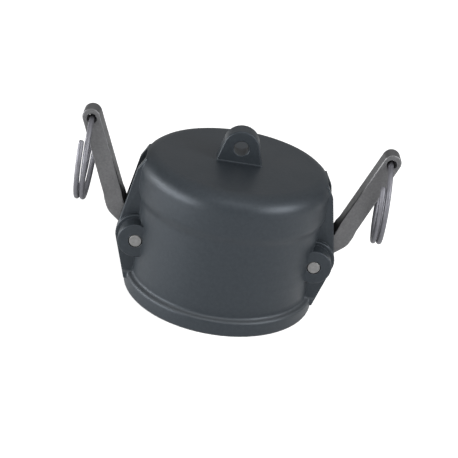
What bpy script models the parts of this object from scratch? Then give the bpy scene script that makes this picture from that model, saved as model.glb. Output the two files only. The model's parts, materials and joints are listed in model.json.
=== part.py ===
"""Cam and groove blanking cap, 2 inch size, in metres with +Z up.

The mouth lies in the plane z = 0 and the closed end is on top. The two cam arms swing in the XZ plane, one on
each side, and are modelled shut, then turned on their pins to the resting position. The right side is +X.
"""

import math

import bmesh
import bpy
from mathutils import Matrix, Vector

MM = 0.001

# Clearances
SEAT_GAP = 0.3 * MM  # between pieces that touch on the real cap
ARM_SIDE_GAP = 0.4 * MM  # each side of the cam head, between the ears
PIVOT_GAP = 0.25 * MM  # round the pin, in the arm

# Cap body
BORE_RADIUS = 32.0 * MM
WALL = 8.0 * MM
BODY_HEIGHT = 63.1 * MM
RIM_HEIGHT = 7.2 * MM
RIM_STEP = 2.5 * MM  # how far the rim stands out of the wall
BAND_STEP = 1.5 * MM  # how far the upper band stands out of the wall
BAND_HEIGHT = 15.9 * MM  # from the shoulder's upper end to the closed end's face
SHOULDER_LENGTH = 6.2 * MM  # height over which the band curves down to the wall
CROWN_FILLET = 8.0 * MM
RIM_FILLET = 1.1 * MM
MOUTH_CHAMFER = 1.0 * MM
CLOSED_END = 10.1 * MM  # thickness over the gasket
CORE_DEPTH = 4.0 * MM  # recess inside the gasket's hole

# Gasket
GASKET_THICKNESS = 6.35 * MM
GASKET_WIDTH = 8.2 * MM
GROOVE_DEPTH = 2.0 * MM  # behind the bore's wall
GASKET_EDGE = 0.6 * MM

# Ears: two bosses on each side, with ribs above and below
PIN_RADIUS = 2.75 * MM
PIN_HEIGHT = 25.9 * MM
PIN_INSET = 1.27 * MM  # from the wall's outer face in to the pin's axis
PIN_CHAMFER = 0.35 * MM
BOSS_WALL = 4.7 * MM  # round the pin hole
BOSS_LENGTH = 11.8 * MM
BOSS_EDGE = 0.6 * MM
EAR_THICKNESS = 5.1 * MM
RIB_THICKNESS = 2.9 * MM  # of the ear's upper part, which runs up to the crown
EAR_MARGIN = 1.6 * MM  # how far the ear stands out round the boss
EAR_EDGE = 0.5 * MM
RIB_RISE = 0.8 * MM  # how far the rib's upper end stands out of the band
EAR_FOOT = 0.4 * MM  # from the rim's outer edge in to the ear's foot
CHANNEL_DEPTH = 0.7 * MM  # cut into the wall, where the shut arm lies
WINDOW_CORNER = 1.5 * MM
WINDOW_MARGIN = 3.0 * MM  # free height above and below the swinging cam

# Tether lug on the closed end
LUG_HOLE_RADIUS = 3.25 * MM
LUG_HOLE_HEIGHT = 6.7 * MM  # above the closed end's face
LUG_WALL = 4.55 * MM  # round the hole
LUG_THICKNESS = 8.3 * MM
LUG_FLARE = math.radians(15)
LUG_EDGE = 0.7 * MM
LUG_FILLET = 1.0 * MM

# Cam arm, shut
CAM_BASE_RADIUS = 6.6 * MM
CAM_LOBE_RADIUS = 7.5 * MM
CAM_OFFSET = 3.2 * MM  # from the pin's axis to the lobe's centre
HEAD_THICKNESS = 11.0 * MM
SHANK_THICKNESS = 10.6 * MM
HANDLE_THICKNESS = 7.8 * MM
ARM_WIDTH = 8.2 * MM
SHANK_LENGTH = 14.0 * MM  # pin to elbow
SHANK_LEAN = math.radians(29.2)
HANDLE_LENGTH = 40.8 * MM  # elbow to ring hole
ELBOW_RADIUS = 4.8 * MM  # of the arm's centre line
STEP_START = 3.8 * MM  # beyond the elbow, where the arm starts to thin
STEP_LENGTH = 2.6 * MM
ARM_EDGE = 0.6 * MM
RING_HOLE_RADIUS = 2.0 * MM
TIP_REACH = 0.6 * MM  # from the ring hole out to the centre of the tip's rounding
TIP_WIDTH = 7.7 * MM  # the handle narrows a little towards its tip
HOLE_CHAMFER = 0.3 * MM
REST_OPENING = math.radians(21.1)  # the arms rest this far open

# Pull ring
WIRE_RADIUS = 1.22 * MM
RING_RADIUS = 18.25 * MM  # of the wire's centre line
COIL_GAP = 0.1 * MM  # between the two turns
FIRST_END = math.radians(-311)  # angles from the top of the ring, where it passes through the arm
LAST_END = math.radians(290)
RING_LEAN = math.radians(1.5)  # the rings hang a little outwards
RING_TURN_LEFT = math.radians(-0.6)  # how far each ring has turned about the vertical in its loose hole
RING_TURN_RIGHT = math.radians(4.7)
WIRE_END = 0.4 * MM  # rounding of the cut ends

# Facets
BODY_SEGMENTS = 72
ROUND_SEGMENTS = 36
HOLE_SEGMENTS = 28
WIRE_SIDES = 10
RING_STEP = math.radians(9)
FILLET_STEPS = 3
CROWN_STEPS = 6
SMOOTH_ANGLE = math.radians(35)  # edges that bend more are shaded sharp

# Sizes that follow from the ones above
WALL_RADIUS = BORE_RADIUS + WALL
RIM_RADIUS = WALL_RADIUS + RIM_STEP
BAND_RADIUS = WALL_RADIUS + BAND_STEP
SHOULDER_HEIGHT = BODY_HEIGHT - BAND_HEIGHT
GROOVE_RADIUS = BORE_RADIUS + GROOVE_DEPTH
SEAT_HEIGHT = BODY_HEIGHT - CLOSED_END
GASKET_RADIUS = GROOVE_RADIUS - SEAT_GAP
GASKET_BORE = GASKET_RADIUS - GASKET_WIDTH
PIN_REACH = WALL_RADIUS - PIN_INSET
PIN_HOLE_RADIUS = PIN_RADIUS + SEAT_GAP
BOSS_RADIUS = PIN_HOLE_RADIUS + BOSS_WALL
SLOT_HALF = HEAD_THICKNESS / 2 + ARM_SIDE_GAP
BOSS_HALF = SLOT_HALF + BOSS_LENGTH
CHANNEL_FLOOR = WALL_RADIUS - CHANNEL_DEPTH
CAM_REACH = CAM_OFFSET + CAM_LOBE_RADIUS
LUG_RADIUS = LUG_HOLE_RADIUS + LUG_WALL
LUG_HOLE_Z = BODY_HEIGHT + LUG_HOLE_HEIGHT
OVERLAP = 2.0 * MM  # how far a joined shape runs into its neighbour, and a cutter past its wall
TINY = 0.1 * MM  # keeps two faces of a union from lying in one plane
WELD = 0.001 * MM  # points this near are one
LAST_TIP_ANGLE = math.radians(88)  # where the tip's round end is closed, short of a bare line
CORNER_SHARE = 0.9  # most of a narrow section's half width that its rounded corners take


def arc(centre, radius, start, end, steps):
    """Points of an arc, as (x, z) pairs, from the start angle to the end angle in degrees."""
    points = []
    for step in range(steps + 1):
        angle = math.radians(start + (end - start) * step / steps)
        points.append((centre[0] + radius * math.cos(angle), centre[1] + radius * math.sin(angle)))
    return points


def circle(centre, radius, segments):
    return arc(centre, radius, 0, 360 - 360 / segments, segments - 1)


def turn_side(start, end, point):
    """Positive where the point lies to the left of the line from start to end."""
    along = (end[0] - start[0], end[1] - start[1])
    away = (point[0] - start[0], point[1] - start[1])
    return along[0] * away[1] - along[1] * away[0]


def hull(points):
    """The convex outline round these points, anticlockwise."""
    ordered = sorted(set(points))
    outline = []
    for run in (ordered, ordered[::-1]):
        half = []
        for point in run:
            while len(half) > 1 and turn_side(half[-2], half[-1], point) <= 0:
                half.pop()
            half.append(point)
        outline += half[:-1]
    return outline


def inset(outline, distance):
    """An anticlockwise outline moved inwards by a distance on every side."""
    moved = []
    for index, point in enumerate(outline):
        before = Vector(outline[index - 1])
        here = Vector(point)
        after = Vector(outline[(index + 1) % len(outline)])
        first = (here - before).normalized().orthogonal()
        second = (after - here).normalized().orthogonal()
        bisector = (first + second).normalized()
        moved.append(tuple(here + bisector * distance / bisector.dot(first)))
    return moved


def along_x(point, level):
    return Vector((level, point[0], point[1]))


def along_y(point, level):
    return Vector((point[0], level, point[1]))


def along_z(point, level):
    return Vector((point[0], point[1], level))


def loft(rings):
    """A closed solid through rings that have the same number of points, with a face over each end."""
    bm = bmesh.new()
    loops = []
    for ring in rings:
        loops.append([bm.verts.new(point) for point in ring])
    for lower, upper in zip(loops, loops[1:]):
        for index, vertex in enumerate(lower):
            following = (index + 1) % len(lower)
            bm.faces.new((vertex, lower[following], upper[following], upper[index]))
    bm.faces.new(loops[0])
    bm.faces.new(loops[-1])
    bmesh.ops.recalc_face_normals(bm, faces=bm.faces)
    return bm


def plate(outline, low, high, place, low_edge=0.0, high_edge=0.0):
    """An outline extruded from one level to another, with rounded edges on either face."""
    rings = []
    for level, edge, inward in ((low, low_edge, 1), (high, high_edge, -1)):
        steps = FILLET_STEPS if edge else 0
        stack = []
        for step in range(steps + 1):
            angle = step / steps * math.pi / 2 if steps else math.pi / 2
            shrunk = inset(outline, edge * (1 - math.sin(angle)))
            height = level + inward * edge * (1 - math.cos(angle))
            stack.append([place(point, height) for point in shrunk])
        rings += stack[::inward]
    return loft(rings)


def turned(profile):
    """A closed profile of (radius, z) points turned round the Z axis."""
    bm = bmesh.new()
    vertices = [bm.verts.new((radius, 0, height)) for radius, height in profile]
    edges = []
    for index, vertex in enumerate(vertices):
        following = vertices[(index + 1) % len(vertices)]
        if vertex.co.x > 0 or following.co.x > 0:
            edges.append(bm.edges.new((vertex, following)))
    bmesh.ops.spin(
        bm,
        geom=vertices + edges,
        axis=(0, 0, 1),
        cent=(0, 0, 0),
        angle=2 * math.pi,
        steps=BODY_SEGMENTS,
        use_merge=True,
    )
    bmesh.ops.remove_doubles(bm, verts=bm.verts, dist=WELD)
    bmesh.ops.recalc_face_normals(bm, faces=bm.faces)
    return bm


def make_object(name, bm):
    mesh = bpy.data.meshes.new(name)
    bm.to_mesh(mesh)
    bm.free()
    made = bpy.data.objects.new(name, mesh)
    bpy.context.scene.collection.objects.link(made)
    return made


def combine(target, shapes, operation):
    """Joins or cuts each shape in turn, keeps the result as the target's own mesh and removes the shapes."""
    for number, bm in enumerate(shapes):
        tool = make_object(f"{target.name}_tool_{number}", bm)
        modifier = target.modifiers.new("shape", "BOOLEAN")
        modifier.operation = operation
        modifier.solver = "EXACT"
        modifier.object = tool
        bpy.context.view_layer.update()
        graph = bpy.context.evaluated_depsgraph_get()
        result = bpy.data.meshes.new_from_object(target.evaluated_get(graph))
        target.modifiers.clear()
        spent = target.data
        target.data = result
        bpy.data.meshes.remove(spent)
        tool_mesh = tool.data
        bpy.data.objects.remove(tool)
        bpy.data.meshes.remove(tool_mesh)
    target.data.name = target.name


def finish(made, material):
    made.data.materials.clear()
    made.data.materials.append(material)
    made.data.shade_smooth()
    made.data.set_sharp_from_angle(angle=SMOOTH_ANGLE)


def plain_material(name, colour, roughness, metallic):
    material = bpy.data.materials.new(name)
    material.use_nodes = True
    shader = material.node_tree.nodes["Principled BSDF"]
    shader.inputs["Base Color"].default_value = (*colour, 1)
    shader.inputs["Roughness"].default_value = roughness
    shader.inputs["Metallic"].default_value = metallic
    material.diffuse_color = (*colour, 1)
    return material


def shoulder():
    """The curve from the band down to the wall: two equal arcs that meet halfway, in line."""
    bend = 2 * math.degrees(math.atan(BAND_STEP / SHOULDER_LENGTH))
    radius = (SHOULDER_LENGTH**2 + BAND_STEP**2) / (4 * BAND_STEP)
    upper = (BAND_RADIUS - radius, SHOULDER_HEIGHT)
    lower = (WALL_RADIUS + radius, SHOULDER_HEIGHT - SHOULDER_LENGTH)
    curve = arc(upper, radius, 0, -bend, FILLET_STEPS)
    return curve + arc(lower, radius, 180 - bend, 180, FILLET_STEPS)[1:]


def body_profile():
    """The outside of the moulding, before the bore and the windows are cut."""
    crown = (BAND_RADIUS - CROWN_FILLET, BODY_HEIGHT - CROWN_FILLET)
    profile = [(0, BODY_HEIGHT)]
    profile += arc(crown, CROWN_FILLET, 90, 0, CROWN_STEPS)
    profile += shoulder()
    foot = (WALL_RADIUS + RIM_FILLET, RIM_HEIGHT + RIM_FILLET)
    profile += arc(foot, RIM_FILLET, 180, 270, FILLET_STEPS)
    rim = RIM_RADIUS - RIM_FILLET
    profile += arc((rim, RIM_HEIGHT - RIM_FILLET), RIM_FILLET, 90, 0, FILLET_STEPS)
    profile += arc((rim, RIM_FILLET), RIM_FILLET, 0, -90, FILLET_STEPS)
    profile += [(0, 0)]
    return profile


def bore_profile():
    """The hollow: a chamfered mouth, the bore, the gasket's groove and the cored recess."""
    groove_floor = SEAT_HEIGHT - GASKET_THICKNESS - 2 * SEAT_GAP
    core = GASKET_BORE - SEAT_GAP
    return [
        (0, -OVERLAP),
        (BORE_RADIUS + MOUTH_CHAMFER, -OVERLAP),
        (BORE_RADIUS + MOUTH_CHAMFER, 0),
        (BORE_RADIUS, MOUTH_CHAMFER),
        (BORE_RADIUS, groove_floor),
        (GROOVE_RADIUS, groove_floor),
        (GROOVE_RADIUS, SEAT_HEIGHT),
        (core, SEAT_HEIGHT),
        (core, SEAT_HEIGHT + CORE_DEPTH),
        (0, SEAT_HEIGHT + CORE_DEPTH),
    ]


def ear_shapes(side):
    """The bosses, ears and upper ribs of one side, as single bars that the arm's slot parts later."""
    pin = (side * PIN_REACH, PIN_HEIGHT)
    boss = circle(pin, BOSS_RADIUS, ROUND_SEGMENTS)
    disc = circle(pin, BOSS_RADIUS + EAR_MARGIN, ROUND_SEGMENTS)
    root = side * (WALL_RADIUS - WALL / 2)
    foot = side * (RIM_RADIUS - EAR_FOOT)
    ear = hull(disc + [(foot, RIM_HEIGHT), (foot, RIM_HEIGHT / 2), (root, RIM_HEIGHT / 2)])
    crown = BODY_HEIGHT - CROWN_FILLET
    shrink = CROWN_FILLET * (1 - math.cos(math.pi / 4))
    rib_shoulder = (side * (BAND_RADIUS + RIB_RISE), crown)
    rib_top = (side * (BAND_RADIUS - shrink), BODY_HEIGHT - shrink)
    rib = hull(disc + [rib_shoulder, rib_top, (root, BODY_HEIGHT - shrink)])
    ear_half = SLOT_HALF + EAR_THICKNESS
    rib_half = SLOT_HALF + RIB_THICKNESS
    return [
        plate(boss, -BOSS_HALF, BOSS_HALF, along_y, BOSS_EDGE, BOSS_EDGE),
        plate(ear, -ear_half, ear_half, along_y, EAR_EDGE, EAR_EDGE),
        plate(inset(rib, TINY), -rib_half, rib_half, along_y, EAR_EDGE, EAR_EDGE),
    ]


def rounded_rectangle(half_length, half_width, corner, centre=(0, 0), steps=FILLET_STEPS):
    """An anticlockwise rectangle with rounded corners."""
    outline = []
    for start, across, up in ((0, 1, 1), (90, -1, 1), (180, -1, -1), (270, 1, -1)):
        middle = (
            centre[0] + across * (half_length - corner),
            centre[1] + up * (half_width - corner),
        )
        outline += arc(middle, corner, start, start + 90, steps)
    return outline


def window_cutter(side):
    """The opening in the wall that the cam head swings through."""
    half_height = CAM_REACH + WINDOW_MARGIN
    outline = rounded_rectangle(SLOT_HALF, half_height, WINDOW_CORNER, (0, PIN_HEIGHT))
    inner = side * (BORE_RADIUS - WALL)
    outer = side * (WALL_RADIUS + BOSS_RADIUS + OVERLAP)
    return plate(outline, min(inner, outer), max(inner, outer), along_x)


def channel_cutter(side):
    """The slot between the ears and the channel above it, where the shut arm lies."""
    floor = side * CHANNEL_FLOOR
    outer = side * (WALL_RADIUS + BOSS_RADIUS + OVERLAP)
    half_height = (BODY_HEIGHT + OVERLAP - RIM_HEIGHT) / 2
    middle = RIM_HEIGHT + half_height
    outline = rounded_rectangle(abs(outer - floor) / 2, half_height, TINY, ((floor + outer) / 2, middle))
    return plate(outline, -SLOT_HALF, SLOT_HALF, along_y)


def lug_half_width(height):
    """Half the lug's width on its flared sides, at a height above the closed end's face."""
    drop = LUG_HOLE_HEIGHT - height
    return (LUG_RADIUS + drop * math.sin(LUG_FLARE)) / math.cos(LUG_FLARE)


def lug_shapes():
    """The lug's plate, with a round top and flared sides, and the fillet round its foot."""
    top = circle((0, LUG_HOLE_Z), LUG_RADIUS, ROUND_SEGMENTS)
    base = BODY_HEIGHT - OVERLAP
    outline = hull(top + [(side * lug_half_width(-OVERLAP), base) for side in (-1, 1)])
    half = LUG_THICKNESS / 2
    rings = []
    for step in range(-1, FILLET_STEPS + 1):
        height = LUG_FILLET * max(step, 0) / FILLET_STEPS
        spread = LUG_FILLET - math.sqrt(LUG_FILLET**2 - (LUG_FILLET - height) ** 2) - TINY
        level = BODY_HEIGHT + (height if step >= 0 else -OVERLAP)
        section = rounded_rectangle(lug_half_width(height) + spread, half + spread, LUG_FILLET)
        rings.append([along_z(point, level) for point in section])
    return [plate(outline, -half, half, along_y, LUG_EDGE, LUG_EDGE), loft(rings)]


def drill(x, z, radius, half_depth):
    """A round cutter along Y."""
    return plate(circle((x, z), radius, HOLE_SEGMENTS), -half_depth, half_depth, along_y)


def chamfered_drill(x, z, radius, half_thickness):
    """A round cutter along Y that also chamfers the hole's rim on both faces of its plate."""
    past = half_thickness + HOLE_CHAMFER
    inside = half_thickness - HOLE_CHAMFER
    wide = radius + 2 * HOLE_CHAMFER
    rings = []
    for level, width in ((-past, wide), (-inside, radius), (inside, radius), (past, wide)):
        rings.append([along_y(point, level) for point in circle((x, z), width, HOLE_SEGMENTS)])
    return loft(rings)


def make_body(material):
    body = make_object("cap_body", turned(body_profile()))
    joined = lug_shapes()
    cuts = [turned(bore_profile())]
    for side in (-1, 1):
        joined += ear_shapes(side)
        cuts.append(channel_cutter(side))
        cuts.append(window_cutter(side))
        cuts.append(drill(side * PIN_REACH, PIN_HEIGHT, PIN_HOLE_RADIUS, BOSS_HALF + OVERLAP))
    cuts.append(chamfered_drill(0, LUG_HOLE_Z, LUG_HOLE_RADIUS, LUG_THICKNESS / 2))
    combine(body, joined, "UNION")
    combine(body, cuts, "DIFFERENCE")
    finish(body, material)
    return body


def make_gasket(material):
    top = SEAT_HEIGHT - SEAT_GAP
    middle = ((GASKET_BORE + GASKET_RADIUS) / 2, top - GASKET_THICKNESS / 2)
    section = rounded_rectangle(GASKET_WIDTH / 2, GASKET_THICKNESS / 2, GASKET_EDGE, middle, 1)
    gasket = make_object("gasket", turned(section))
    finish(gasket, material)
    return gasket


def make_pin(name, side, material):
    """A plain pin with chamfered ends, its ends flush with the bosses."""
    outline = circle((0, 0), PIN_RADIUS, HOLE_SEGMENTS)
    pin = make_object(name, plate(outline, -BOSS_HALF, BOSS_HALF, along_y, PIN_CHAMFER, PIN_CHAMFER))
    pin.location = (side * PIN_REACH, 0, PIN_HEIGHT)
    finish(pin, material)
    return pin


def arm_stations():
    """Stations along the shut arm's centre line: place, direction, half width and half thickness."""
    elbow = Vector((math.sin(SHANK_LEAN), math.cos(SHANK_LEAN))) * SHANK_LENGTH
    cut_back = ELBOW_RADIUS * math.tan(SHANK_LEAN / 2)
    thick = SHANK_THICKNESS / 2
    thin = HANDLE_THICKNESS / 2
    width = ARM_WIDTH / 2
    tip = TIP_WIDTH / 2
    stations = [(Vector((0, 0)), SHANK_LEAN, width, thick)]
    bend = elbow + Vector((-ELBOW_RADIUS, cut_back))
    for step in range(FILLET_STEPS + 1):
        lean = SHANK_LEAN * (1 - step / FILLET_STEPS)
        place = bend + Vector((math.cos(lean), -math.sin(lean))) * ELBOW_RADIUS
        stations.append((place, lean, width, thick))
    stations.append((elbow + Vector((0, STEP_START)), 0, width, thick))
    stations.append((elbow + Vector((0, STEP_START + STEP_LENGTH)), 0, width, thin))
    for step in range(ROUND_SEGMENTS // 4 + 1):
        angle = min(step / (ROUND_SEGMENTS // 4) * math.pi / 2, LAST_TIP_ANGLE)
        rise = tip * math.sin(angle)
        past_edge = max(rise - (tip - ARM_EDGE), 0)
        drop = ARM_EDGE - math.sqrt(ARM_EDGE**2 - past_edge**2)
        place = elbow + Vector((0, HANDLE_LENGTH + TIP_REACH + rise))
        stations.append((place, 0, tip * math.cos(angle), thin - drop))
    return stations


def arm_section(place, lean, half_width, half_thickness, side):
    """The arm's cross section at one station, across its centre line."""
    edge = min(ARM_EDGE, half_width * CORNER_SHARE)
    ring = []
    for across, level in rounded_rectangle(half_width, half_thickness, edge):
        x = place.x + across * math.cos(lean)
        z = place.y - across * math.sin(lean)
        ring.append(Vector((side * x, level, z)))
    return ring


def make_arm(name, side, material):
    """The arm with its pin hole at the origin: cam head, cranked shank, thinner handle and ring hole."""
    rings = [arm_section(*station, side) for station in arm_stations()]
    arm = make_object(name, loft(rings))
    base = circle((0, 0), CAM_BASE_RADIUS, ROUND_SEGMENTS)
    lobe = circle((-side * CAM_OFFSET, 0), CAM_LOBE_RADIUS, ROUND_SEGMENTS)
    half_head = HEAD_THICKNESS / 2
    combine(arm, [plate(hull(base + lobe), -half_head, half_head, along_y, ARM_EDGE, ARM_EDGE)], "UNION")
    tip = tip_place(side)
    cuts = [drill(0, 0, PIN_RADIUS + PIVOT_GAP, HEAD_THICKNESS)]
    cuts.append(chamfered_drill(tip.x, tip.z, RING_HOLE_RADIUS, HANDLE_THICKNESS / 2))
    combine(arm, cuts, "DIFFERENCE")
    arm.location = (side * PIN_REACH, 0, PIN_HEIGHT)
    arm.rotation_euler = (0, side * REST_OPENING, 0)
    finish(arm, material)
    return arm


def tip_place(side):
    """The ring hole's centre on the shut arm, from the pin's axis."""
    across = SHANK_LENGTH * math.sin(SHANK_LEAN)
    up = SHANK_LENGTH * math.cos(SHANK_LEAN) + HANDLE_LENGTH
    return Vector((side * across, 0, up))


def make_ring(name, side, arm, material):
    """A split ring of round wire, about one and two thirds of a turn, hanging in the arm's tip."""
    slack = RING_HOLE_RADIUS - WIRE_RADIUS - SEAT_GAP
    half = HANDLE_THICKNESS / 2
    sag = RING_RADIUS - math.sqrt(RING_RADIUS**2 - half**2)
    centre = -(slack - sag) - RING_RADIUS
    pitch = 2 * WIRE_RADIUS + COIL_GAP
    count = math.ceil((LAST_END - FIRST_END) / RING_STEP)
    end_turn = WIRE_END / RING_RADIUS
    turns = [(FIRST_END, WIRE_RADIUS - WIRE_END)]
    for step in range(count + 1):
        inner = (LAST_END - FIRST_END - 2 * end_turn) * step / count
        turns.append((FIRST_END + end_turn + inner, WIRE_RADIUS))
    turns.append((LAST_END, WIRE_RADIUS - WIRE_END))
    turn = RING_TURN_LEFT if side < 0 else RING_TURN_RIGHT
    swivel = Matrix.Rotation(-turn, 3, "Z")
    rings = []
    for angle, radius in turns:
        outward = Vector((0, -math.sin(angle), math.cos(angle)))
        middle = Vector((pitch * angle / (2 * math.pi), 0, centre)) + outward * RING_RADIUS
        section = circle((0, 0), radius, WIRE_SIDES)
        points = [middle + outward * away + Vector((aside, 0, 0)) for away, aside in section]
        rings.append([swivel @ point for point in points])
    ring = make_object(name, loft(rings))
    ring.parent = arm
    ring.location = tip_place(side)
    ring.rotation_euler = (0, -side * (REST_OPENING + RING_LEAN), 0)
    finish(ring, material)
    return ring


def clear_scene():
    for old in list(bpy.data.objects):
        bpy.data.objects.remove(old, do_unlink=True)


def main():
    clear_scene()
    plastic = plain_material("black_polypropylene", (0.055, 0.062, 0.070), 0.45, 0.0)
    rubber = plain_material("gasket_rubber", (0.020, 0.020, 0.021), 0.75, 0.0)
    cast_steel = plain_material("cast_stainless", (0.36, 0.36, 0.37), 0.38, 1.0)
    pin_steel = plain_material("pin_stainless", (0.50, 0.50, 0.50), 0.42, 1.0)
    wire_steel = plain_material("wire_stainless", (0.60, 0.60, 0.63), 0.22, 1.0)
    make_body(plastic)
    make_gasket(rubber)
    for name, side in (("left", -1), ("right", 1)):
        make_pin(f"pivot_pin_{name}", side, pin_steel)
        arm = make_arm(f"cam_arm_{name}", side, cast_steel)
        make_ring(f"pull_ring_{name}", side, arm, wire_steel)


main()
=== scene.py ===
"""Cam and groove blanking cap: surfaces, light and camera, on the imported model. Metres, +Z up.

The camera stands where a perspective fit to the photograph puts it, rolled as the photograph is.
"""

import json
import math

import bmesh
import bpy
from mathutils import Matrix, Vector


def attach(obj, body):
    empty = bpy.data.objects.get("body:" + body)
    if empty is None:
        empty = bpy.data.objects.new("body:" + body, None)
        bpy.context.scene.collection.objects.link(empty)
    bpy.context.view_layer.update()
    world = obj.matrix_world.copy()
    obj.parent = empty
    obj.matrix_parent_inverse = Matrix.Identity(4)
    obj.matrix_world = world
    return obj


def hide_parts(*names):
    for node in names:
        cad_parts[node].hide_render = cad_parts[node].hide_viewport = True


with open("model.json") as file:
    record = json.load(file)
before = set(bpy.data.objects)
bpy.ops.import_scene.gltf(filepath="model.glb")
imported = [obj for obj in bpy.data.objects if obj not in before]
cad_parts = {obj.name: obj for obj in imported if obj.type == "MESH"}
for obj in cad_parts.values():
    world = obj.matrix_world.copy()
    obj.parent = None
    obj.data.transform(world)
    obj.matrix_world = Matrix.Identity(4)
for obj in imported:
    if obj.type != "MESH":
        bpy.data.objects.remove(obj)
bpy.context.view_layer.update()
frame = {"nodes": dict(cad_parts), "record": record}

MM = 0.001

# Camera, from the fit to the photograph
AIM_HEIGHT = 30.0 * MM  # of the point on the cap's axis that the camera stands off from
CAMERA_DISTANCE = 518.7 * MM
CAMERA_ELEVATION = math.radians(25.82)
CAMERA_AZIMUTH = math.radians(-2.92)
CAMERA_ROLL = math.radians(9.88)
CAMERA_SLIDE_RIGHT = -0.78 * MM
CAMERA_SLIDE_UP = 0.38 * MM
IMAGE_SIZE = 458
FOCAL_PIXELS = 1176.7
SENSOR_WIDTH = 36.0

# Smooth shading
BODY_SHARP_ANGLE = math.radians(35)
ARM_SHARP_ANGLE = math.radians(20)  # keeps the step where the arm thins
RING_SHARP_ANGLE = math.radians(60)
FLAT_ANGLE = math.radians(0.3)
QUAD_FOLD = math.radians(40)  # most fold and most skew at which two facets of the wire become one
QUAD_SKEW = math.radians(60)
RING_SUBDIVISIONS = 1
WELD = 0.001 * MM

# Edges: how the materials round them and paint them paler, partly as wear and partly as painted highlight
EDGE_ROUNDING = 0.25 * MM
CAST_EDGE_ROUNDING = 0.375 * MM
LEDGE_ROUNDING = 2.0 * MM  # of the ledge over the rim, where the moulding's corner is soft
LEDGE_HEIGHT = 7.2 * MM
LEDGE_REACH = 3.4 * MM  # above and below the ledge, over which the rounding dies out
LEDGE_HIGHLIGHT_FULL = 0.3 * MM  # above and below the ledge, where its painted highlight starts to thin out
LEDGE_HIGHLIGHT_REACH = 0.9 * MM  # and where it ends
EDGE_REACH = 0.5 * MM  # how far in from an outer edge the moulding looks paler
EDGE_SAMPLES = 6
LEDGE_SAMPLES = 12
WEAR_AND_HIGHLIGHT_START = 0.996  # cosine between the rounded normal and the true one at which the paler edge colour, partly wear and partly painted highlight, starts
PLASTIC_WEAR_AND_HIGHLIGHT_FULL = 0.88  # and at which it is full
STEEL_WEAR_AND_HIGHLIGHT_FULL = 0.96
INSIDE_FLAT = 0.95  # how open the solid is just inside a flat face
INSIDE_EDGE = 0.70  # and just inside an outer edge

# Finishes. Each has two colours, in linear light, between which its pattern runs, and a range of roughness
PLASTIC_COLOURS = ((0.016, 0.020, 0.024, 1), (0.023, 0.028, 0.033, 1))
PLASTIC_ROUGHNESS = (0.41, 0.49)
PLASTIC_PALE = (0.15, 0.16, 0.17, 1)  # of paler edges, partly wear and partly painted edge highlight, and of the ledge's painted highlight
PLASTIC_SHEEN_TINT = (0.82, 0.90, 1.0, 1)
PLASTIC_SPECULAR = 0.5
# how much paler outer edges get, partly wear and partly painted highlight
PLASTIC_WEAR_AND_HIGHLIGHT = 0.9
# how much paler the ledge is painted: a painted highlight over the shade in its inner corner
LEDGE_PAINTED_HIGHLIGHT = 0.28
RUBBER_COLOURS = ((0.010, 0.010, 0.011, 1), (0.024, 0.024, 0.024, 1))
RUBBER_ROUGHNESS = (0.70, 0.85)
STEEL_COLOURS = ((0.138, 0.139, 0.143, 1), (0.178, 0.179, 0.184, 1))
STEEL_ROUGHNESS = (0.44, 0.54)
# the paler colour of edges and how much of it they get: partly wear, partly painted highlight
STEEL_PALE = (0.26, 0.26, 0.27, 1)
STEEL_WEAR_AND_HIGHLIGHT = 0.7
PIN_COLOURS = ((0.21, 0.21, 0.21, 1), (0.30, 0.30, 0.30, 1))
PIN_ROUGHNESS = (0.48, 0.60)
WIRE_COLOURS = ((0.175, 0.175, 0.193, 1), (0.218, 0.218, 0.240, 1))
WIRE_ROUGHNESS = (0.54, 0.62)
NOISE_LOW = 0.3  # nearly all of a noise pattern lies between these two values
NOISE_HIGH = 0.7
BLOOM_LOW = 0.35  # leaves more of the rubber dark

# Where a mix node keeps its colour sockets
MIX_FIRST = 6
MIX_SECOND = 7
MIX_RESULT = 2

# Studio. Azimuths run from the front to the right, elevations up from the floor, both in degrees
FLOOR_SIZE = 6.0
FLOOR_COLOUR = (0.80, 0.80, 0.80, 1)
FLOOR_LIFT = 0.75  # added white for the camera, which keeps the shadow
FLOOR_GLOSS_LIFT = 0.36  # and for shiny surfaces
COVER_REACH = 150 * MM  # floor that is covered within this height, as inside the cap, isn't lifted
COVER_SAMPLES = 16
COVERED = 0.08  # how open covered floor is
UNCOVERED = 0.30  # and floor that gets all of the lift
WORLD_AMBIENT = 0.22
LOBE_POWER = 3.0  # how tightly each lobe of the room's light keeps to its direction
ROOM_LOBES = ((180, 15, 0.38), (0, 15, 0.75), (90, 15, 0.30), (0, 90, 1.08))  # azimuth, elevation, radiance
BOX_DISTANCE = 0.85
BOX_WIDTH = 0.45
BOX_HEIGHT = 0.28
SOFTBOXES = {
    "left_front_softbox": (-60, 8, 12.5),
    "left_softbox": (-95, 8, 10.5),
    "overhead_softbox": (0, 55, 2.4),
    "right_softbox": (60, 30, 12.5),
}  # azimuth, elevation, radiance


def feed(tree, value, target):
    """Links an output to an input, or sets the input where the value is plain."""
    if isinstance(value, bpy.types.NodeSocket):
        tree.links.new(value, target)
    else:
        target.default_value = value


def node(tree, kind, **values):
    """A shader node with its properties set and its inputs fed by name."""
    made = tree.nodes.new(kind)
    for name, value in values.items():
        if hasattr(made, name):
            setattr(made, name, value)
        else:
            feed(tree, value, made.inputs[name.replace("_", " ")])
    return made


def maths(tree, operation, first, second=0.0):
    """The result of one operation on one or two values."""
    made = node(tree, "ShaderNodeMath", operation=operation)
    feed(tree, first, made.inputs[0])
    feed(tree, second, made.inputs[1])
    return made.outputs[0]


def dot_product(tree, first, second):
    made = node(tree, "ShaderNodeVectorMath", operation="DOT_PRODUCT")
    feed(tree, first, made.inputs[0])
    feed(tree, second, made.inputs[1])
    return made.outputs["Value"]


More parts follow.
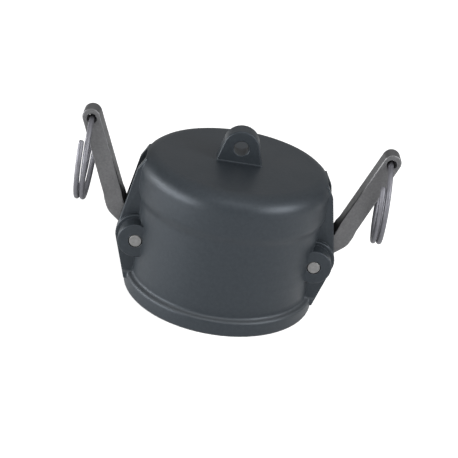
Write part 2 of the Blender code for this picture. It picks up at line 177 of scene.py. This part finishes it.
def scaled(tree, source, low, high, to_low, to_high):
    """A source value mapped from one range to another, and held within it."""
    made = node(
        tree, "ShaderNodeMapRange", Value=source, From_Min=low, From_Max=high, To_Min=to_low, To_Max=to_high
    )
    return made.outputs["Result"]


def share(tree, source, most):
    """A source that runs from 0 to 1, scaled to end at the most it may be."""
    return scaled(tree, source, 0, 1, 0, most)


def ranged(tree, pattern, values):
    """A noise pattern spread between two values."""
    return scaled(tree, pattern, NOISE_LOW, NOISE_HIGH, *values)


def coloured(tree, pattern, colours, low=NOISE_LOW):
    """A noise pattern spread between two colours."""
    made = node(tree, "ShaderNodeValToRGB", Fac=pattern)
    for stop, position, colour in zip(made.color_ramp.elements, (low, NOISE_HIGH), colours):
        stop.position = position
        stop.color = colour
    return made.outputs["Color"]


def mixed(tree, amount, first, second):
    """A mix of two colours."""
    made = node(tree, "ShaderNodeMix", data_type="RGBA", Factor=amount)
    feed(tree, first, made.inputs[MIX_FIRST])
    feed(tree, second, made.inputs[MIX_SECOND])
    return made.outputs[MIX_RESULT]


def either(tree, switch, off, on):
    """One of two plain values, by a switch that is 0 or 1."""
    return node(tree, "ShaderNodeMix", data_type="FLOAT", Factor=switch, A=off, B=on).outputs["Result"]


def noise(tree, place, scale, detail, roughness=0.5):
    """A noise pattern, its scale in cells to the metre."""
    made = node(tree, "ShaderNodeTexNoise", Vector=place, Scale=scale, Detail=detail, Roughness=roughness)
    return made.outputs["Fac"]


def stretched_noise(tree, place, scales, detail):
    """A noise pattern with a scale for each axis, which runs long where the scale is low."""
    squeezed = node(tree, "ShaderNodeMapping", Vector=place, Scale=scales)
    return noise(tree, squeezed.outputs["Vector"], scale=1, detail=detail)


def bump(tree, height, strength, distance, normal):
    """A normal with a pattern's relief on it."""
    made = node(tree, "ShaderNodeBump", Strength=strength, Distance=distance, Height=height)
    if normal is not None:
        feed(tree, normal, made.inputs["Normal"])
    return made.outputs["Normal"]


def rounded_edges(tree, radius, samples=EDGE_SAMPLES):
    return node(tree, "ShaderNodeBevel", samples=samples, Radius=radius).outputs["Normal"]


def from_ledge(tree, place):
    """How far a point lies above or below the ledge over the rim."""
    axes = node(tree, "ShaderNodeSeparateXYZ")
    feed(tree, place, axes.inputs[0])
    return maths(tree, "ABSOLUTE", maths(tree, "SUBTRACT", axes.outputs["Z"], LEDGE_HEIGHT))


def edge_wear_and_highlight(tree, rounded_normal, full_at):
    """1 on sharp edges, 0 on flat faces: where the rounded normal leaves the true one."""
    true_normal = node(tree, "ShaderNodeNewGeometry").outputs["Normal"]
    likeness = dot_product(tree, rounded_normal, true_normal)
    return scaled(tree, likeness, WEAR_AND_HIGHLIGHT_START, full_at, 0, 1)


def outer_edges(tree):
    """1 along outer edges, 0 on flat faces and in inner corners: where the piece is thin just inside."""
    made = node(
        tree,
        "ShaderNodeAmbientOcclusion",
        samples=EDGE_SAMPLES,
        inside=True,
        only_local=True,
        Distance=EDGE_REACH,
    )
    return scaled(tree, made.outputs["AO"], INSIDE_FLAT, INSIDE_EDGE, 0, 1)


def new_material(name):
    material = bpy.data.materials.new(name)
    material.use_nodes = True
    tree = material.node_tree
    shader = tree.nodes["Principled BSDF"]
    place = node(tree, "ShaderNodeTexCoord").outputs["Object"]
    return material, tree, shader, place


def give_finish(tree, shader, colour, roughness, normal):
    """Feeds the three inputs that change over every surface."""
    feed(tree, colour, shader.inputs["Base Color"])
    feed(tree, roughness, shader.inputs["Roughness"])
    feed(tree, normal, shader.inputs["Normal"])


def moulded_plastic():
    """Blue-black polypropylene: satin, with a spark grain, faint clouding, paler edges that are partly wear
    and partly painted highlight, and a ledge painted paler as a highlight over the shade in its corner.
    """
    material, tree, shader, place = new_material("moulded_black_polypropylene")
    clouds = noise(tree, place, scale=45, detail=3)
    speckle = noise(tree, place, scale=700, detail=4, roughness=0.65)
    grain = noise(tree, place, scale=1900, detail=3, roughness=0.6)
    flow = stretched_noise(tree, place, scales=(40, 40, 260), detail=2)
    away = from_ledge(tree, place)
    wear_and_highlight_mask = edge_wear_and_highlight(tree, rounded_edges(tree, EDGE_ROUNDING), PLASTIC_WEAR_AND_HIGHLIGHT_FULL)
    # paler outer edges: partly wear, partly painted edge highlight
    worn_and_highlit = share(tree, maths(tree, "MULTIPLY", wear_and_highlight_mask, outer_edges(tree)), PLASTIC_WEAR_AND_HIGHLIGHT)
    # painted highlight: the ledge made paler over the shade in its inner corner
    ledge_highlight = scaled(tree, away, LEDGE_HIGHLIGHT_FULL, LEDGE_HIGHLIGHT_REACH, LEDGE_PAINTED_HIGHLIGHT, 0)
    pale = maths(tree, "MAXIMUM", worn_and_highlit, ledge_highlight)
    colour = mixed(tree, pale, coloured(tree, speckle, PLASTIC_COLOURS), PLASTIC_PALE)
    radius = scaled(tree, away, LEDGE_REACH / 2, LEDGE_REACH, LEDGE_ROUNDING, EDGE_ROUNDING)
    normal = rounded_edges(tree, radius, LEDGE_SAMPLES)
    normal = bump(tree, grain, strength=0.3, distance=0.05 * MM, normal=normal)
    normal = bump(tree, speckle, strength=0.18, distance=0.10 * MM, normal=normal)
    normal = bump(tree, clouds, strength=0.12, distance=0.10 * MM, normal=normal)
    give_finish(tree, shader, colour, ranged(tree, flow, PLASTIC_ROUGHNESS), normal)
    shader.inputs["Specular IOR Level"].default_value = PLASTIC_SPECULAR
    shader.inputs["Specular Tint"].default_value = PLASTIC_SHEEN_TINT
    return material


def gasket_rubber():
    """Matt black rubber with a dusty bloom and a fine skin."""
    material, tree, shader, place = new_material("matt_gasket_rubber")
    bloom = noise(tree, place, scale=160, detail=4)
    skin = noise(tree, place, scale=2600, detail=2)
    colour = coloured(tree, bloom, RUBBER_COLOURS, BLOOM_LOW)
    normal = bump(tree, skin, strength=0.3, distance=0.04 * MM, normal=None)
    give_finish(tree, shader, colour, ranged(tree, bloom, RUBBER_ROUGHNESS), normal)
    return material


def cast_steel():
    """Investment cast stainless steel, tumbled to a satin grey, with fine grain and brighter edges that are
    partly wear and partly painted highlight.
    """
    material, tree, shader, place = new_material("satin_cast_stainless")
    mottle = noise(tree, place, scale=260, detail=4, roughness=0.6)
    grain = noise(tree, place, scale=1100, detail=3, roughness=0.6)
    pits = noise(tree, place, scale=2300, detail=3, roughness=0.7)
    rounded = rounded_edges(tree, CAST_EDGE_ROUNDING)
    # paler edges: partly wear, partly painted highlight
    worn_and_highlit = share(tree, edge_wear_and_highlight(tree, rounded, STEEL_WEAR_AND_HIGHLIGHT_FULL), STEEL_WEAR_AND_HIGHLIGHT)
    colour = mixed(tree, worn_and_highlit, coloured(tree, grain, STEEL_COLOURS), STEEL_PALE)
    normal = bump(tree, pits, strength=0.5, distance=0.08 * MM, normal=rounded)
    give_finish(tree, shader, colour, ranged(tree, mottle, STEEL_ROUGHNESS), normal)
    shader.inputs["Metallic"].default_value = 1.0
    return material


def pin_steel():
    """A cropped and faced pin: matt pale ends with fine turning marks."""
    material, tree, shader, place = new_material("faced_pin_stainless")
    mottle = noise(tree, place, scale=900, detail=3, roughness=0.6)
    turning = stretched_noise(tree, place, scales=(3200, 250, 3200), detail=2)
    rounded = rounded_edges(tree, EDGE_ROUNDING)
    normal = bump(tree, turning, strength=0.3, distance=0.03 * MM, normal=rounded)
    colour = coloured(tree, mottle, PIN_COLOURS)
    give_finish(tree, shader, colour, ranged(tree, mottle, PIN_ROUGHNESS), normal)
    shader.inputs["Metallic"].default_value = 1.0
    return material


def wire_steel():
    """Satin drawn spring wire with faint drawing marks and stains."""
    material, tree, shader, place = new_material("bright_drawn_wire")
    drawn = stretched_noise(tree, place, scales=(900, 200, 200), detail=2)
    stains = noise(tree, place, scale=320, detail=3)
    normal = bump(tree, drawn, strength=0.05, distance=0.02 * MM, normal=None)
    colour = coloured(tree, stains, WIRE_COLOURS)
    give_finish(tree, shader, colour, ranged(tree, drawn, WIRE_ROUGHNESS), normal)
    shader.inputs["Metallic"].default_value = 1.0
    return material


def body_of_node(name):
    for body, members in frame["record"]["behaviour"]["bodies"].items():
        if name in members:
            return body
    return None


def smooth_copy(name, sharp_angle, in_quads):
    """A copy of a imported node's mesh whose faces are joined up and shaded smooth."""
    mesh = frame["nodes"][name].data.copy()
    bm = bmesh.new()
    bm.from_mesh(mesh)
    bmesh.ops.remove_doubles(bm, verts=bm.verts, dist=WELD)
    bmesh.ops.dissolve_limit(bm, angle_limit=FLAT_ANGLE, verts=bm.verts, edges=bm.edges)
    if in_quads:
        bmesh.ops.join_triangles(
            bm, faces=bm.faces, angle_face_threshold=QUAD_FOLD, angle_shape_threshold=QUAD_SKEW
        )
    bm.to_mesh(mesh)
    bm.free()
    mesh.materials.clear()
    mesh.shade_smooth()
    mesh.set_sharp_from_angle(angle=sharp_angle)
    return mesh


def dress(name, material, sharp_angle, subdivisions=0):
    """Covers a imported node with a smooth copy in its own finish."""
    mesh = smooth_copy(name, sharp_angle, in_quads=subdivisions > 0)
    mesh.materials.append(material)
    piece = bpy.data.objects.new(f"{name}_surface", mesh)
    bpy.context.scene.collection.objects.link(piece)
    if subdivisions:
        rounder = piece.modifiers.new("rounder", "SUBSURF")
        rounder.levels = subdivisions
        rounder.render_levels = subdivisions
    else:
        even = piece.modifiers.new("even_shading", "WEIGHTED_NORMAL")
        even.keep_sharp = True
    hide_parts(name)
    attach(piece, body_of_node(name))


def make_camera():
    """The camera at the photograph's place, rolled about its own axis."""
    back = Vector(
        (
            math.sin(CAMERA_AZIMUTH) * math.cos(CAMERA_ELEVATION),
            -math.cos(CAMERA_AZIMUTH) * math.cos(CAMERA_ELEVATION),
            math.sin(CAMERA_ELEVATION),
        )
    )
    level = Vector((math.cos(CAMERA_AZIMUTH), math.sin(CAMERA_AZIMUTH), 0))
    plumb = back.cross(level)
    right = level * math.cos(CAMERA_ROLL) + plumb * math.sin(CAMERA_ROLL)
    up = plumb * math.cos(CAMERA_ROLL) - level * math.sin(CAMERA_ROLL)
    place = Vector((0, 0, AIM_HEIGHT)) + back * CAMERA_DISTANCE
    place -= right * CAMERA_SLIDE_RIGHT + up * CAMERA_SLIDE_UP
    lens = bpy.data.cameras.new("photograph_camera")
    lens.sensor_width = SENSOR_WIDTH
    lens.lens = FOCAL_PIXELS * SENSOR_WIDTH / IMAGE_SIZE
    camera = bpy.data.objects.new("photograph_camera", lens)
    bpy.context.scene.collection.objects.link(camera)
    turn = Matrix((right, up, back)).transposed().to_4x4()
    camera.matrix_world = Matrix.Translation(place) @ turn
    bpy.context.scene.camera = camera


def shiny_ray(tree, path):
    """1 for rays that left a shiny or clear surface."""
    return maths(tree, "MAXIMUM", path.outputs["Is Glossy Ray"], path.outputs["Is Transmission Ray"])


def floor_material():
    """Matt and pale. The camera and shiny surfaces see it lighter, except where it is covered."""
    material = bpy.data.materials.new("studio_floor")
    material.use_nodes = True
    tree = material.node_tree
    tree.nodes.clear()
    path = node(tree, "ShaderNodeLightPath")
    for_camera = share(tree, path.outputs["Is Camera Ray"], FLOOR_LIFT)
    for_shiny = share(tree, shiny_ray(tree, path), FLOOR_GLOSS_LIFT)
    cover = node(tree, "ShaderNodeAmbientOcclusion", samples=COVER_SAMPLES, Distance=COVER_REACH)
    openness = scaled(tree, cover.outputs["AO"], COVERED, UNCOVERED, 0, 1)
    lift = maths(tree, "MULTIPLY", maths(tree, "ADD", for_camera, for_shiny), openness)
    matt = node(tree, "ShaderNodeBsdfDiffuse", Color=FLOOR_COLOUR)
    glow = node(tree, "ShaderNodeEmission", Strength=lift)
    both = node(tree, "ShaderNodeAddShader")
    feed(tree, matt.outputs[0], both.inputs[0])
    feed(tree, glow.outputs[0], both.inputs[1])
    node(tree, "ShaderNodeOutputMaterial", Surface=both.outputs[0])
    return material


def make_floor():
    """A plain floor that is white away from the shadow."""
    half = FLOOR_SIZE / 2
    mesh = bpy.data.meshes.new("studio_floor")
    corners = [(-half, -half, 0), (half, -half, 0), (half, half, 0), (-half, half, 0)]
    mesh.from_pydata(corners, [], [(0, 1, 2, 3)])
    mesh.materials.append(floor_material())
    floor = bpy.data.objects.new("studio_floor", mesh)
    bpy.context.scene.collection.objects.link(floor)


def direction_to(azimuth, elevation):
    """A unit vector towards a place in the studio."""
    side = math.radians(azimuth)
    rise = math.radians(elevation)
    return Vector((math.sin(side) * math.cos(rise), -math.cos(side) * math.cos(rise), math.sin(rise)))


def lobe(tree, direction, azimuth, elevation, radiance):
    """Light that is strongest from one direction and falls off smoothly round it."""
    facing = maths(tree, "MAXIMUM", dot_product(tree, direction, direction_to(azimuth, elevation)))
    return share(tree, maths(tree, "POWER", facing, LOBE_POWER), radiance)


def make_world():
    """White to the camera, even to matt surfaces, and a soft room with brighter sides to shiny ones."""
    world = bpy.data.worlds.new("studio")
    world.use_nodes = True
    bpy.context.scene.world = world
    tree = world.node_tree
    path = node(tree, "ShaderNodeLightPath")
    direction = node(tree, "ShaderNodeTexCoord").outputs["Generated"]
    room = 0.0
    for azimuth, elevation, radiance in ROOM_LOBES:
        room = maths(tree, "ADD", room, lobe(tree, direction, azimuth, elevation, radiance))
    lighting = either(tree, shiny_ray(tree, path), WORLD_AMBIENT, room)
    background = tree.nodes["Background"]
    background.inputs["Color"].default_value = (1, 1, 1, 1)
    seen = either(tree, path.outputs["Is Camera Ray"], lighting, 1.0)
    feed(tree, seen, background.inputs["Strength"])


def make_softbox(name, azimuth, elevation, radiance):
    """A soft lamp that faces the object."""
    lamp = bpy.data.lights.new(name, "AREA")
    lamp.shape = "RECTANGLE"
    lamp.size = BOX_WIDTH
    lamp.size_y = BOX_HEIGHT
    lamp.energy = radiance * math.pi * BOX_WIDTH * BOX_HEIGHT
    box = bpy.data.objects.new(name, lamp)
    bpy.context.scene.collection.objects.link(box)
    towards = direction_to(azimuth, elevation)
    box.location = towards * BOX_DISTANCE
    box.rotation_euler = towards.to_track_quat("Z", "Y").to_euler()


def make_lights():
    for name, (azimuth, elevation, radiance) in SOFTBOXES.items():
        make_softbox(name, azimuth, elevation, radiance)


def dress_all():
    """Every piece of the cap in its finish."""
    plastic = moulded_plastic()
    steel = cast_steel()
    pins = pin_steel()
    wire = wire_steel()
    dress("cap_body", plastic, BODY_SHARP_ANGLE)
    dress("gasket", gasket_rubber(), BODY_SHARP_ANGLE)
    for side in ("left", "right"):
        dress(f"cam_arm_{side}", steel, ARM_SHARP_ANGLE)
        dress(f"pivot_pin_{side}", pins, BODY_SHARP_ANGLE)
        dress(f"pull_ring_{side}", wire, RING_SHARP_ANGLE, RING_SUBDIVISIONS)


def main():
    dress_all()
    make_camera()
    make_floor()
    make_world()
    make_lights()
    bpy.context.scene.view_settings.view_transform = "Standard"


main()
